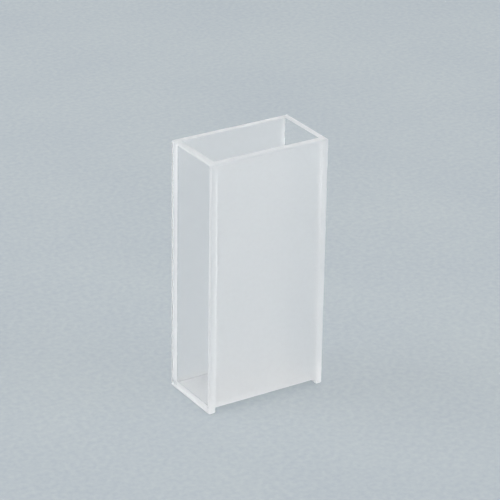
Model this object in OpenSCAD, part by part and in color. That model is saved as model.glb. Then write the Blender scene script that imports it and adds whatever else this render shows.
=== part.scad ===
// Rectangular spectrophotometer cell, open at the top.
// Two polished windows carry two ground side plates and a base plate between them.
// X is the light path through the windows, Z is up, and the origin is the middle of
// the cell's footprint at the level of its feet.

/* [Outside] */
// Length over both windows, along the light path
cell_length = 22.5; // [12.5:0.5:52.5]
// Width over both side plates
cell_width = 12.5; // [8:0.5:20]
// Height from the feet to the rim
cell_height = 45; // [20:1:60]

/* [Plates] */
// Thickness of each polished window
window_thickness = 1.25; // [1:0.05:2]
// Thickness of each ground side plate
side_thickness = 1.25; // [1:0.05:2]
// Thickness of the base plate
base_thickness = 0.9; // [0.6:0.05:1]

/* [Feet and base] */
// How far the windows reach below the side plates, as feet
foot_height = 1; // [0.9:0.05:2]
// How far up the side plates the base plate reaches, where it is bonded to them
base_overlap = 0.1; // [0.1:0.05:2]

/* [Joints and edges] */
// Thickness of the bond left between two plates
bond_film = 0.01; // [0.005:0.005:0.03]
// Width of the small ground bevel along each open edge
edge_bevel = 0.2; // [0.05:0.05:0.3]

/* [Hidden] */

// Space between the windows, and what the bond leaves for the plates between them
inside_length = cell_length - 2 * window_thickness;
between_windows = inside_length - 2 * bond_film;

// Space between the side plates, and what the bond leaves for the base plate
inside_width = cell_width - 2 * side_thickness;
between_sides = inside_width - 2 * bond_film;

side_height = cell_height - foot_height;
base_top = foot_height + base_overlap;

polished_colour = [0.79, 0.82, 0.84, 0.4];
ground_colour = [0.82, 0.84, 0.85];

// Corners of a rectangle, as shares of its width and height
low_left = [0, 0];
low_right = [1, 0];
high_left = [0, 1];
high_right = [1, 1];

// Rectangle from the origin, with a 45 degree bevel on each of the corners named
module bevelled_rectangle(size, bevelled) {
    difference() {
        square(size);
        for (corner = bevelled)
            translate([corner.x * size.x, corner.y * size.y])
                rotate(45)
                    square(edge_bevel * sqrt(2), center = true);
    }
}

// Section in Y and Z, drawn out along X over the length given
module along_x(length) {
    rotate([90, 0, 90])
        linear_extrude(length)
            children();
}

// Section in X and Z, drawn out along Y over the length given
module along_y(length) {
    translate([0, length, 0])
        rotate([90, 0, 0])
            linear_extrude(length)
                children();
}

// Window at the right, from its inner face at X = 0, with every open edge bevelled
module window_plate() {
    intersection() {
        linear_extrude(cell_height)
            bevelled_rectangle([window_thickness, cell_width], [low_right, high_right]);
        along_y(cell_width)
            bevelled_rectangle([window_thickness, cell_height], [low_left, low_right, high_right]);
        along_x(window_thickness)
            bevelled_rectangle([cell_width, cell_height], [low_left, low_right, high_left, high_right]);
    }
}

module right_window() {
    color(polished_colour)
        translate([inside_length / 2, -cell_width / 2, 0])
            window_plate();
}

module left_window() {
    mirror([1, 0, 0])
        right_window();
}

// Ground plate between the windows, bevelled along its outer rim and outer lower edge
module back_side_plate() {
    color(ground_colour)
        translate([-between_windows / 2, inside_width / 2, foot_height])
            along_x(between_windows)
                bevelled_rectangle([side_thickness, side_height], [low_right, high_right]);
}

module front_side_plate() {
    mirror([0, 1, 0])
        back_side_plate();
}

// Floor of the cell, with bevels along the two edges that stand below the side plates
module base_plate() {
    color(ground_colour)
        translate([-between_windows / 2, -between_sides / 2, base_top - base_thickness])
            along_x(between_windows)
                bevelled_rectangle([between_sides, base_thickness], [low_left, low_right]);
}

left_window();
right_window();
front_side_plate();
back_side_plate();
base_plate();
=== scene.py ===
import math

import bmesh
import bpy
from mathutils import Matrix, Vector, noise


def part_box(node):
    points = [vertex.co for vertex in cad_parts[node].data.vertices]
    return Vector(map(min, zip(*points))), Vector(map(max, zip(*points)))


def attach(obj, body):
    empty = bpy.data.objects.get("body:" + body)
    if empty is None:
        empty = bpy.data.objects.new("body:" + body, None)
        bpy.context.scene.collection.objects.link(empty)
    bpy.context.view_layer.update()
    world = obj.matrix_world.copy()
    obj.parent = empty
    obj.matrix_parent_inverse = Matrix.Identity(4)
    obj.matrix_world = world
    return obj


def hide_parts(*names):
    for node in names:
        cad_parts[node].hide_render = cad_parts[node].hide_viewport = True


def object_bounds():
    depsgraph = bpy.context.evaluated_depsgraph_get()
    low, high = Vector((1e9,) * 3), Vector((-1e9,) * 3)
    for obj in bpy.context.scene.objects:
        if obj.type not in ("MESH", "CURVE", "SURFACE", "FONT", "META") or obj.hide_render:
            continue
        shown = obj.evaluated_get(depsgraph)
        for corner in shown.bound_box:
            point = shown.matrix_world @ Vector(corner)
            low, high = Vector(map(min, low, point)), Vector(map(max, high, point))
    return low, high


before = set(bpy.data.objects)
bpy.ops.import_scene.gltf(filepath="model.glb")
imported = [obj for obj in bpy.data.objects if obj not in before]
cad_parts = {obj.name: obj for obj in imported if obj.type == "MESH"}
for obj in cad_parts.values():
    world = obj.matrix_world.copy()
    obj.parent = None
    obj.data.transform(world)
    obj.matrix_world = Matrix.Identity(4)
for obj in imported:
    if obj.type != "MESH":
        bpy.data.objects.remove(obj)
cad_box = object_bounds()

MM = 0.001

# ---------------------------------------------------------------- sizes of the cell

# Low and high corner of each plate, from the frame
PLATES = {name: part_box(name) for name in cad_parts}

# Legs of the small bevel that is ground along each open edge
ARRIS = 0.22 * MM
# A bevel is ground by hand, so its width wanders by this share, over this distance
ARRIS_WANDER = 0.03
WANDER_LENGTH = 3.0 * MM
# The noise behind it seldom reaches half of its range, so it is stretched by this
WANDER_STRETCH = 2
# Distance between the points that let a bevel's width wander. Across a plate's thickness there
# would be this many steps or fewer, and none is made
ARRIS_STEP = 0.75 * MM
FEW_STEPS = 3
# The lower end of a window is ground round by this radius, in this many facets
FOOT_RADIUS = 0.32 * MM
FOOT_FACETS = 3
# Below the side plates, the inner faces of the feet are ground too, up to here
FOOT_HEIGHT = 1.0 * MM
# Two plates are bonded where their faces are no further apart than this
BOND_REACH = 0.03 * MM
# The bond creeps along a ground face beside it and fills the pits: this far along x, y and z
MARGIN_WIDTHS = (0.15 * MM, 0.35 * MM, 0.15 * MM)
# No cut is made nearer to a plate's end than this, where its bevels are
END_MARGIN = 0.6 * ARRIS
# Points nearer to a cut than this are taken to lie on it
CUT_GRIP = 1e-7
# A face lies on a side when their normals agree this far, and a bevel is upright when its normal
# rises or falls by less than this
AGREES = 0.99
UPRIGHT = 0.1


# ---------------------------------------------------------------- colours and nodes

def from_hex(colour, alpha=1.0):
    """An sRGB hex colour such as D0D5D9 as linear red, green, blue and alpha."""
    shares = [int(colour[i:i + 2], 16) / 255 for i in (0, 2, 4)]
    linear = [s / 12.92 if s <= 0.04045 else ((s + 0.055) / 1.055) ** 2.4 for s in shares]
    return (*linear, alpha)


def add_node(tree, kind, settings=None, values=None, links=None):
    """One node with its settings, its plain socket values and the outputs it takes."""
    made = tree.nodes.new(kind)
    for name, value in (settings or {}).items():
        setattr(made, name, value)
    for name, value in (values or {}).items():
        made.inputs[name].default_value = value
    for name, source in (links or {}).items():
        tree.links.new(source, made.inputs[name])
    return made


def new_material(name):
    """An empty node material, with its tree."""
    material = bpy.data.materials.new(name)
    material.use_nodes = True
    material.node_tree.nodes.clear()
    return material, material.node_tree


def finish_material(tree, shader):
    add_node(tree, "ShaderNodeOutputMaterial", links={"Surface": shader.outputs[0]})


# Blender's noise seldom leaves this range
NOISE_LOW = 0.3
NOISE_HIGH = 0.7


def patchy(tree, place, size, low, high, stretch=(1, 1, 1)):
    """A number that wanders from low to high over the place, in patches of about size metres."""
    squeezed = add_node(tree, "ShaderNodeMapping", values={"Scale": stretch},
                        links={"Vector": place})
    cloud = add_node(tree, "ShaderNodeTexNoise",
                     values={"Scale": 1 / size, "Detail": 2.0, "Roughness": 0.55},
                     links={"Vector": squeezed.outputs[0]})
    spread = add_node(tree, "ShaderNodeMapRange",
                      values={"From Min": NOISE_LOW, "From Max": NOISE_HIGH,
                              "To Min": low, "To Max": high},
                      links={"Value": cloud.outputs["Fac"]})
    return spread.outputs["Result"]


# ---------------------------------------------------------------- fused silica

SILICA_IOR = 1.46
# Silica takes nothing from the light that goes through it
CLEAR = from_hex("FFFFFF")

# Real wipe marks are finer than 0.1 mm: they are drawn this wide so that they show at all
WIPE_WIDTH = 0.9 * MM
WIPE_STRETCH = (1, 1, 0.15)
WIPE_ROUGHNESS = 0.012

# The grit leaves pits about 0.03 mm wide: they are drawn this wide and deep so that they show
GRIT_WIDTH = 0.22 * MM
GRIT_DEPTH = 0.012 * MM
# Where the pits lie close the face is this much of its full whiteness, so it is faintly mottled
PIT_TONE = 0.965
# Handling changes the share of light that a ground face passes by this much
WEAR = 0.02
# Roughness varies by this much from patch to patch
ROUGHNESS_VARIES = 0.05
# Widths of the patches on a ground face, in pits
SPECKLE_PITS = 1.7
ROUGH_PITS = 3
TONE_PITS = 3.5
WEAR_PITS = 12
# A bevel is ground by hand with a coarser stone
STONE_WIDTH = 0.3 * MM
STONE_DEPTH = 0.02 * MM
# What is left of a pit's depth once the bond has filled it
FILLED_DEPTH = 0.5 * GRIT_DEPTH

# Real bubbles in the seam are about 0.02 mm: they are drawn this wide so that they show
SEAM_BUBBLE = 0.35 * MM
# Share of the light that the seam passes on, and how much that share varies
SEAM_PASSES = 0.33
SEAM_VARIES = 0.15


def polished_silica():
    """Lapped with cerium oxide: clear, with sharp reflections and faint upright wipe marks."""
    material, tree = new_material("Polished fused silica")
    place = add_node(tree, "ShaderNodeTexCoord").outputs["Object"]
    wiped = patchy(tree, place, WIPE_WIDTH, 0.0, WIPE_ROUGHNESS, stretch=WIPE_STRETCH)
    shader = add_node(tree, "ShaderNodeBsdfPrincipled", links={"Roughness": wiped}, values={
        "Base Color": CLEAR, "IOR": SILICA_IOR, "Transmission Weight": 1.0})
    finish_material(tree, shader)
    return material


def ground_silica(name, clear, roughness=0.5, mottle=0.06, colour="FFFFFF",
                  grain=GRIT_WIDTH, depth=GRIT_DEPTH):
    """Ground with loose grit: matte and white, yet it passes and spreads light.

    clear is the share of light that goes on into the glass, and mottle how much that share
    varies from spot to spot. grain is the width of a pit and depth how deep it is.
    """
    material, tree = new_material(name)
    place = add_node(tree, "ShaderNodeTexCoord").outputs["Object"]
    pits = patchy(tree, place, grain, 0.0, 1.0)
    bump = add_node(tree, "ShaderNodeBump", values={"Strength": 1.0, "Distance": depth},
                    links={"Height": pits})
    worn = patchy(tree, place, WEAR_PITS * grain, -WEAR, WEAR)
    speckle = patchy(tree, place, SPECKLE_PITS * grain, clear - mottle, clear + mottle)
    passed = add_node(tree, "ShaderNodeMath", settings={"operation": "ADD"},
                      links={0: worn, 1: speckle})
    rough = patchy(tree, place, ROUGH_PITS * grain,
                   roughness - ROUGHNESS_VARIES, roughness + ROUGHNESS_VARIES)
    white = from_hex(colour)
    pitted = (*[PIT_TONE * share for share in white[:3]], 1)
    tone = add_node(tree, "ShaderNodeMix", settings={"data_type": "RGBA"},
                    values={"A": white, "B": pitted},
                    links={"Factor": patchy(tree, place, TONE_PITS * grain, 0.0, 1.0)})
    shader = add_node(tree, "ShaderNodeBsdfPrincipled", values={"IOR": SILICA_IOR}, links={
        "Base Color": tone.outputs["Result"], "Transmission Weight": passed.outputs[0],
        "Roughness": rough, "Normal": bump.outputs[0]})
    finish_material(tree, shader)
    return material


def fused_seam():
    """The thin fused layer between two plates: cloudy with fine bubbles, so it glows white."""
    material, tree = new_material("Fused seam")
    place = add_node(tree, "ShaderNodeTexCoord").outputs["Object"]
    passed = patchy(tree, place, SEAM_BUBBLE,
                    SEAM_PASSES - SEAM_VARIES, SEAM_PASSES + SEAM_VARIES)
    white = add_node(tree, "ShaderNodeBsdfDiffuse", values={"Color": CLEAR})
    glow = add_node(tree, "ShaderNodeBsdfTranslucent", values={"Color": CLEAR})
    shader = add_node(tree, "ShaderNodeMixShader",
                      links={0: passed, 1: white.outputs[0], 2: glow.outputs[0]})
    finish_material(tree, shader)
    return material


POLISHED = polished_silica()
# Side faces and floor: an even satin that blurs what is behind it
GROUND_FACE = ground_silica("Ground fused silica side", clear=0.86, roughness=0.6, mottle=0.1)
GROUND_FLOOR = ground_silica("Ground fused silica floor", clear=0.64, roughness=0.6, mottle=0.1)
# Upper ends: bright, because light leaves the plates there. The windows' upper end is toned a trace
# below white, a faint painted shade
GROUND_TOP = ground_silica("Ground fused silica top end", clear=0.91, colour="FEFEFE")
GROUND_SIDE_TOP = ground_silica("Ground fused silica side top end", clear=0.68)
# Upright ends of the windows: a grey-white stripe between two brighter lines
GROUND_END = ground_silica("Ground fused silica end", clear=0.78)
SEAM_LINE = ground_silica("Fused seam line", clear=0.12, mottle=0.15, grain=STONE_WIDTH)
# Bevels: thin bright lines. The greyish colours of the upward-facing bevels, on the windows and on
# the side plates, are painted shade: they dim lines that the colourless silica alone would show
# whiter
GROUND_BEVEL = ground_silica("Ground fused silica bevel", clear=0.75, roughness=0.35,
                             mottle=0.12, colour="F3F4F4", grain=STONE_WIDTH, depth=STONE_DEPTH)
UPRIGHT_BEVEL = ground_silica("Ground fused silica upright bevel", clear=0.85, roughness=0.35,
                              mottle=0.12, grain=STONE_WIDTH, depth=STONE_DEPTH)
SIDE_BEVEL = ground_silica("Ground fused silica side bevel", clear=0.95, roughness=0.6,
                           mottle=0.1, colour="F6F7F7", grain=STONE_WIDTH, depth=STONE_DEPTH)
# Lower ends: the coarsest and whitest
GROUND_FOOT = ground_silica("Ground fused silica lower end", clear=0.03, mottle=0.08)
# Ground glass whose pits the bond has filled: nearly clear again, a thin dark line
WETTED = ground_silica("Ground fused silica wetted by the bond", clear=0.89, roughness=0.25,
                       mottle=0.05, grain=STONE_WIDTH, depth=FILLED_DEPTH)
SEAM = fused_seam()


# ---------------------------------------------------------------- plates

SIDES = {"-x": (0, -1), "+x": (0, 1), "-y": (1, -1), "+y": (1, 1), "-z": (2, -1), "+z": (2, 1)}


def normal_of(side):
    axis, sign = SIDES[side]
    return Vector(sign if i == axis else 0 for i in range(3))


def side_of(face):
    """The side of the plate that a face lies on, or None for a bevel."""
    for side in SIDES:
        if face.normal.dot(normal_of(side)) > AGREES:
            return side
    return None


def kind_of_bevel(face):
    if abs(face.normal.z) < UPRIGHT:
        return "upright bevel"
    return "top bevel" if face.normal.z > 0 else "low bevel"


def bonds_of(node):
    """Where the plate's faces are bonded to another plate: side, low and high corner."""
    low, high = PLATES[node]
    found = []
    for other, (other_low, other_high) in PLATES.items():
        for side, (axis, sign) in SIDES.items():
            gap = other_low[axis] - high[axis] if sign > 0 else low[axis] - other_high[axis]
            across = [i for i in range(3) if i != axis]
            meets = all(min(high[i], other_high[i]) > max(low[i], other_low[i]) for i in across)
            if other != node and meets and abs(gap) < BOND_REACH:
                start = Vector(max(low[i], other_low[i]) for i in range(3))
                end = Vector(min(high[i], other_high[i]) for i in range(3))
                found.append((side, start, end))
    return found


def box_mesh(low, high):
    mesh = bmesh.new()
    bmesh.ops.create_cube(mesh, size=1.0)
    size = high - low
    for vertex in mesh.verts:
        vertex.co = low + Vector((vertex.co[i] + 0.5) * size[i] for i in range(3))
    mesh.normal_update()
    return mesh


def grind_edges(mesh, edges, reach, facets=1):
    bmesh.ops.bevel(mesh, geom=edges, offset=reach, offset_type="OFFSET", segments=facets,
                    profile=0.5, affect="EDGES", clamp_overlap=True)
    mesh.normal_update()


def bevel_open_edges(mesh, open_edges):
    """Grinds a flat bevel along each edge named by the two sides that meet there."""
    wanted = [set(pair.split()) for pair in open_edges]
    edges = [e for e in mesh.edges if {side_of(f) for f in e.link_faces} in wanted]
    grind_edges(mesh, edges, ARRIS)


def round_lower_end(mesh):
    """Rounds the whole edge of the lower end."""
    edges = [e for e in mesh.edges if "-z" in {side_of(f) for f in e.link_faces}]
    grind_edges(mesh, edges, FOOT_RADIUS, FOOT_FACETS)


def cut_across(mesh, axis, place):
    everything = mesh.verts[:] + mesh.edges[:] + mesh.faces[:]
    normal = Vector(1 if i == axis else 0 for i in range(3))
    bmesh.ops.bisect_plane(mesh, geom=everything, dist=CUT_GRIP, plane_co=normal * place,
                           plane_no=normal)


def cut_for_detail(mesh, low, high, bonds):
    """Cuts the plate at the ends of its bonds, and often enough for its bevels to wander."""
    for axis in range(3):
        places = {round(corner[axis] / MM, 4) for side, *corners in bonds for corner in corners
                  if SIDES[side][0] != axis}
        places |= {round((end + inward * MARGIN_WIDTHS[axis]) / MM, 4)
                   for end, inward in ((low[axis], 1), (high[axis], -1))}
        if axis == 2:
            places.add(round((low[axis] + FOOT_HEIGHT) / MM, 4))
        steps = max(1, round((high[axis] - low[axis]) / ARRIS_STEP))
        if steps > FEW_STEPS:
            places |= {round((low[axis] + (high[axis] - low[axis]) * i / steps) / MM, 4)
                       for i in range(1, steps)}
        for place in sorted(places):
            if low[axis] + END_MARGIN < place * MM < high[axis] - END_MARGIN:
                cut_across(mesh, axis, place * MM)
    mesh.normal_update()


def let_bevels_wander(mesh):
    """Moves the inner line of each bevel a little in the face that it borders."""
    moves = []
    for vertex in mesh.verts:
        flats = {side_of(f) for f in vertex.link_faces} - {None}
        slopes = {tuple(round(n, 2) for n in f.normal) for f in vertex.link_faces if not side_of(f)}
        if len(flats) != 1 or len(slopes) != 1:
            continue
        flat = normal_of(flats.pop())
        slope = Vector(slopes.pop())
        outward = (slope - slope.dot(flat) * flat).normalized()
        wander = noise.noise((vertex.co + flat * WANDER_LENGTH) / WANDER_LENGTH)
        moves.append((vertex, outward * wander * WANDER_STRETCH * ARRIS_WANDER * ARRIS))
    for vertex, move in moves:
        vertex.co += move
    mesh.normal_update()


def is_bonded(side, middle, bonds):
    for bond_side, start, end in bonds:
        across = [i for i in range(3) if i != SIDES[bond_side][0]]
        if side == bond_side and all(start[i] < middle[i] < end[i] for i in across):
            return True
    return False


def is_beside_bond(side, middle, bonds, low, high):
    """True for the narrow strip of a side that runs along the bond of a neighbouring side."""
    for bond_side, start, end in bonds:
        axis, sign = SIDES[bond_side]
        edge = high[axis] if sign > 0 else low[axis]
        along = all(start[i] - BOND_REACH < middle[i] < end[i] + BOND_REACH
                    for i in range(3) if i != axis)
        if SIDES[side][0] != axis and along and abs(edge - middle[axis]) < MARGIN_WIDTHS[axis]:
            return True
    return False


def make_plate(name, node, open_edges, finishes, margins, foot_side=None):
    """A plate of the node's size.

    finishes gives a material for each side and kind of bevel, margins one for the strips of a
    side beside a bond, and foot_side is the inner side of a plate whose lower end is a foot.
    """
    low, high = PLATES[node]
    bonds = bonds_of(node)
    mesh = box_mesh(low, high)
    bevel_open_edges(mesh, open_edges)
    if foot_side:
        round_lower_end(mesh)
    cut_for_detail(mesh, low, high, bonds)
    materials = []
    for face in mesh.faces:
        side = side_of(face)
        middle = face.calc_center_median()
        finish = finishes[side or kind_of_bevel(face)]
        if side and is_bonded(side, middle, bonds):
            finish = SEAM
        elif side in margins and is_beside_bond(side, middle, bonds, low, high):
            finish = margins[side]
        elif side and side == foot_side and middle.z - low.z < FOOT_HEIGHT:
            finish = GROUND_FACE
        if finish not in materials:
            materials.append(finish)
        face.material_index = materials.index(finish)
    let_bevels_wander(mesh)
    data = bpy.data.meshes.new(name)
    mesh.to_mesh(data)
    mesh.free()
    for material in materials:
        data.materials.append(material)
    piece = bpy.data.objects.new(name, data)
    bpy.context.scene.collection.objects.link(piece)
    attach(piece, "root")
    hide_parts(node)


def make_window(name, node, outer, inner):
    open_edges = [f"{outer} -y", f"{outer} +y", f"{outer} +z", "-y +z", "+y +z"]
    finishes = {outer: POLISHED, inner: POLISHED, "-y": GROUND_END, "+y": GROUND_END,
                "+z": GROUND_TOP, "-z": GROUND_FOOT, "top bevel": GROUND_BEVEL,
                "upright bevel": UPRIGHT_BEVEL, "low bevel": GROUND_FOOT}
    margins = {"-y": SEAM_LINE, "+y": SEAM_LINE}
    make_plate(name, node, open_edges, finishes, margins, foot_side=inner)


def make_side(name, node, outer, inner):
    finishes = {outer: GROUND_FACE, inner: GROUND_FACE, "-x": SEAM, "+x": SEAM,
                "+z": GROUND_SIDE_TOP, "-z": GROUND_FOOT, "top bevel": SIDE_BEVEL,
                "low bevel": GROUND_FOOT}
    make_plate(name, node, [f"{outer} +z", f"{outer} -z"], finishes,
               {inner: WETTED})


def make_base(name, node):
    finishes = {"+z": GROUND_FLOOR, "-z": GROUND_FLOOR, "-x": SEAM, "+x": SEAM,
                "-y": GROUND_FOOT, "+y": GROUND_FOOT, "low bevel": GROUND_FOOT}
    make_plate(name, node, ["-y -z", "+y -z"], finishes, {"+z": WETTED})


make_window("left_window_pane", "left_window", "-x", "+x")
make_window("right_window_pane", "right_window", "+x", "-x")
make_side("front_ground_plate", "front_side_plate", "-y", "+y")
make_side("back_ground_plate", "back_side_plate", "+y", "-y")
make_base("cell_floor_plate", "base_plate")


# ---------------------------------------------------------------- camera

CAMERA_AZIMUTH = math.radians(-32.45)
CAMERA_ELEVATION = math.radians(25.06)
CAMERA_ROLL = math.radians(0.90)
CAMERA_DISTANCE = 410.6 * MM
# The camera stands this far right of and above the line through the cell's middle
CAMERA_ASIDE = 0.28 * MM
CAMERA_RISE = 2.40 * MM
# Sensor and focal length, both in millimetres
SENSOR_WIDTH = 36.0
LENS = 177.84
# The camera sees what is nearer than FARTHEST and further than NEAREST
NEAREST = 0.01
FARTHEST = 10


def direction(azimuth, elevation):
    """From the cell towards a camera or lamp: azimuth 0 is in front, and 90 is at the right."""
    return Vector((math.sin(azimuth) * math.cos(elevation),
                   -math.cos(azimuth) * math.cos(elevation), math.sin(elevation)))


def make_camera():
    low, high = cad_box
    back = direction(CAMERA_AZIMUTH, CAMERA_ELEVATION)
    level_right = Vector((math.cos(CAMERA_AZIMUTH), math.sin(CAMERA_AZIMUTH), 0))
    level_up = back.cross(level_right)
    right = math.cos(CAMERA_ROLL) * level_right + math.sin(CAMERA_ROLL) * level_up
    up = math.cos(CAMERA_ROLL) * level_up - math.sin(CAMERA_ROLL) * level_right
    data = bpy.data.cameras.new("camera")
    data.sensor_width = SENSOR_WIDTH
    data.lens = LENS
    data.clip_start = NEAREST
    data.clip_end = FARTHEST
    camera = bpy.data.objects.new("camera", data)
    middle = (low + high) / 2
    place = middle + CAMERA_DISTANCE * back + CAMERA_ASIDE * right + CAMERA_RISE * up
    turn = Matrix((right, up, back)).transposed().to_4x4()
    camera.matrix_world = Matrix.Translation(place) @ turn
    bpy.context.scene.collection.objects.link(camera)
    bpy.context.scene.camera = camera


make_camera()


# ---------------------------------------------------------------- table and light

# The cell stands on the high spots of the paper, so the table's face is this far down
TABLE_DROP = 0.02 * MM
# Half the side of the sheet, in metres
TABLE_REACH = 1.2
# The part of the table's look that shadows leave alone, so that the shadow stays a weak one
TABLE_GLOW = 0.55
# The paper's two nearly equal colours, and the size of the fibres and clouds that mix them.
# Real fibres are about 0.02 mm thick: they are drawn this coarse so that they show
PAPER_DARK = "B5BEC6"
PAPER_LIGHT = "C3CBCE"
PAPER_FIBRE = 1.0 * MM
PAPER_CLOUD = 30 * MM
# The share of the mixing that the fibres do, and the depth of the paper's grain
FIBRE_SHARE = 0.72
PAPER_DEPTH = 0.02 * MM

# Brightness of the dome, and its colour near the horizon, where the table's far end would be
DOME_LEVEL = 0.672
HORIZON_COLOUR = "B1B9BF"
HORIZON_START = math.radians(7)
HORIZON_END = math.radians(17)

# Azimuth and elevation of each softbox in degrees, and what it adds to a white level surface
SOFTBOXES = {"left softbox": (-116, 40, 0.235), "right softbox": (45, 15, 0.116)}
# Distance from the cell and side of each softbox, in metres
SOFTBOX_DISTANCE = 0.7
SOFTBOX_SIDE = 0.5


def make_table():
    """A plain pale sheet of matte paper that runs on past the view."""
    material, tree = new_material("Matte paper")
    place = add_node(tree, "ShaderNodeTexCoord").outputs["Object"]
    fibres = patchy(tree, place, PAPER_FIBRE, 0.0, FIBRE_SHARE)
    clouds = patchy(tree, place, PAPER_CLOUD, 0.0, 1 - FIBRE_SHARE)
    both = add_node(tree, "ShaderNodeMath", settings={"operation": "ADD"},
                    links={0: fibres, 1: clouds})
    colour = add_node(tree, "ShaderNodeMix", settings={"data_type": "RGBA"},
                      values={"A": from_hex(PAPER_DARK), "B": from_hex(PAPER_LIGHT)},
                      links={"Factor": both.outputs[0]})
    bump = add_node(tree, "ShaderNodeBump", values={"Strength": 1.0, "Distance": PAPER_DEPTH},
                    links={"Height": fibres})
    paper = add_node(tree, "ShaderNodeBsdfDiffuse",
                     links={"Color": colour.outputs["Result"], "Normal": bump.outputs[0]})
    glow = add_node(tree, "ShaderNodeEmission", links={"Color": colour.outputs["Result"]})
    rays = add_node(tree, "ShaderNodeLightPath").outputs
    mirrored = add_node(tree, "ShaderNodeMath", settings={"operation": "ADD"},
                        links={0: rays["Is Glossy Ray"], 1: rays["Is Transmission Ray"]})
    seen = add_node(tree, "ShaderNodeMath", settings={"operation": "ADD"},
                    links={0: rays["Is Camera Ray"], 1: mirrored.outputs[0]})
    share = add_node(tree, "ShaderNodeMapRange", values={"To Max": TABLE_GLOW},
                     links={"Value": seen.outputs[0]})
    shader = add_node(tree, "ShaderNodeMixShader", links={
        0: share.outputs["Result"], 1: paper.outputs[0], 2: glow.outputs[0]})
    finish_material(tree, shader)
    data = bpy.data.meshes.new("table")
    corners = [(x * TABLE_REACH, y * TABLE_REACH, -TABLE_DROP)
               for x, y in ((-1, -1), (1, -1), (1, 1), (-1, 1))]
    data.from_pydata(corners, [], [(0, 1, 2, 3)])
    data.materials.append(material)
    table = bpy.data.objects.new("table", data)
    bpy.context.scene.collection.objects.link(table)


def make_softbox(name, azimuth, elevation, level):
    """A square softbox. level is what it adds to a level white surface at the cell."""
    away = direction(math.radians(azimuth), math.radians(elevation))
    data = bpy.data.lights.new(name, "AREA")
    data.shape = "SQUARE"
    data.size = SOFTBOX_SIDE
    data.energy = level * math.pi ** 2 * SOFTBOX_DISTANCE ** 2 / away.z
    lamp = bpy.data.objects.new(name, data)
    lamp.location = away * SOFTBOX_DISTANCE
    lamp.rotation_mode = "QUATERNION"
    lamp.rotation_quaternion = away.to_track_quat("Z", "Y")
    bpy.context.scene.collection.objects.link(lamp)


def make_world():
    """An even dome of soft light, with a band at the horizon in the table's colour."""
    world = bpy.data.worlds.new("studio")
    world.use_nodes = True
    tree = world.node_tree
    tree.nodes.clear()
    place = add_node(tree, "ShaderNodeTexCoord")
    split = add_node(tree, "ShaderNodeSeparateXYZ", links={"Vector": place.outputs["Generated"]})
    rise = add_node(tree, "ShaderNodeMapRange", settings={"interpolation_type": "SMOOTHSTEP"},
                    values={"From Min": math.sin(HORIZON_START), "From Max": math.sin(HORIZON_END)},
                    links={"Value": split.outputs["Z"]})
    level = add_node(tree, "ShaderNodeMix", settings={"data_type": "RGBA"},
                     values={"A": from_hex(HORIZON_COLOUR), "B": (*[DOME_LEVEL] * 3, 1)},
                     links={"Factor": rise.outputs["Result"]})
    sky = add_node(tree, "ShaderNodeBackground", values={"Strength": 1.0},
                   links={"Color": level.outputs["Result"]})
    add_node(tree, "ShaderNodeOutputWorld", links={"Surface": sky.outputs[0]})
    bpy.context.scene.world = world


make_table()
for softbox, (azimuth, elevation, level) in SOFTBOXES.items():
    make_softbox(softbox, azimuth, elevation, level)
make_world()


# ---------------------------------------------------------------- view and light paths

# Light is caught in the clear plates and comes out at their ground edges, so it needs many turns
LIGHT_TURNS = 64


def let_light_travel():
    cycles = bpy.context.scene.cycles
    for limit in ("max_bounces", "diffuse_bounces", "glossy_bounces", "transmission_bounces"):
        setattr(cycles, limit, LIGHT_TURNS)
    cycles.blur_glossy = 0


let_light_travel()
bpy.context.scene.view_settings.view_transform = "Standard"
